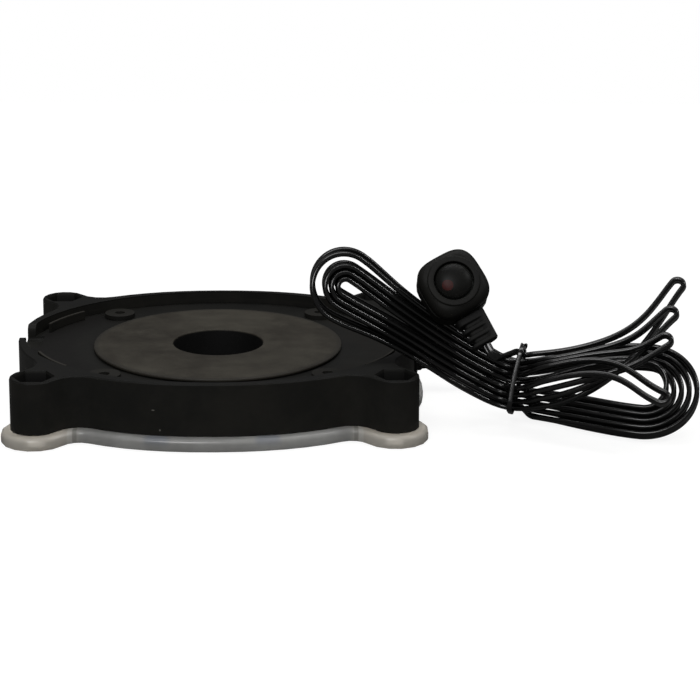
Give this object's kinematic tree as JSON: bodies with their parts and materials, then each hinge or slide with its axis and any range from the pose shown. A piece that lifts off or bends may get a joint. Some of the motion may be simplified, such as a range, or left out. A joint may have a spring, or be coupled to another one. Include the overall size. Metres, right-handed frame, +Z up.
{
  "type": "underwater pond light with dusk sensor",
  "caption": "Ring-shaped submersible pond light with a clear lens flange, a bundled flat cord held by a tie, and a dusk sensor.",
  "frame": {"origin": "centre of the through hole, on the flat outer face of the lens that the light lies on", "axes": "+X along the longer side of the light, towards the side that the cord leaves; +Z up, out of the back of the housing"},
  "size_m": [0.3166, 0.1791, 0.0807],
  "materials": {
    "black_plastic": "moulded, slightly satin",
    "grey_plastic": "moulded, matte",
    "clear_plastic": "clear, smooth",
    "smoked_plastic": "smoked, polished",
    "black_rubber": "matte",
    "cord_vinyl": "satin vinyl",
    "green_board": "solder mask",
    "steel": "plain",
    "led_resin": "cast resin",
    "red_cell": "cast resin",
    "tan_body": "lacquered"
  },
  "bodies": {
    "root": {"back_housing": "black_plastic", "centre_cover": "grey_plastic", "lens": "clear_plastic", "outer_seal": "black_rubber", "bore_seal": "black_rubber", "lens_screw_1": "steel", "lens_screw_2": "steel", "lens_screw_3": "steel", "lens_screw_4": "steel", "led_board": "green_board", "board_screw_1": "steel", "board_screw_2": "steel", "board_screw_3": "steel", "led_1": "led_resin", "led_2": "led_resin", "led_3": "led_resin", "led_4": "led_resin", "led_5": "led_resin", "led_6": "led_resin", "led_7": "led_resin", "led_8": "led_resin", "led_9": "led_resin", "led_10": "led_resin", "led_11": "led_resin", "led_12": "led_resin", "led_13": "led_resin", "led_14": "led_resin", "led_15": "led_resin", "led_16": "led_resin", "led_17": "led_resin", "led_18": "led_resin", "led_19": "led_resin", "led_20": "led_resin", "led_21": "led_resin", "led_22": "led_resin", "led_23": "led_resin", "led_24": "led_resin", "rectifier": "black_plastic", "resistor_1": "tan_body", "resistor_2": "tan_body", "resistor_3": "tan_body", "resistor_4": "tan_body", "cord_gland": "black_rubber", "lead_a": "cord_vinyl", "lead_b": "red_cell", "cord_hank": "cord_vinyl", "sensor_back": "black_plastic", "sensor_front": "black_plastic", "sensor_seal": "black_rubber", "sensor_dome": "smoked_plastic", "sensor_board": "green_board", "photocell": "red_cell", "sensor_screw_1": "steel", "sensor_screw_2": "steel", "sensor_relief": "black_rubber", "cord_lead": "cord_vinyl", "cord_tail": "cord_vinyl", "cord_tie": "black_plastic"}
  },
  "joints": []
}
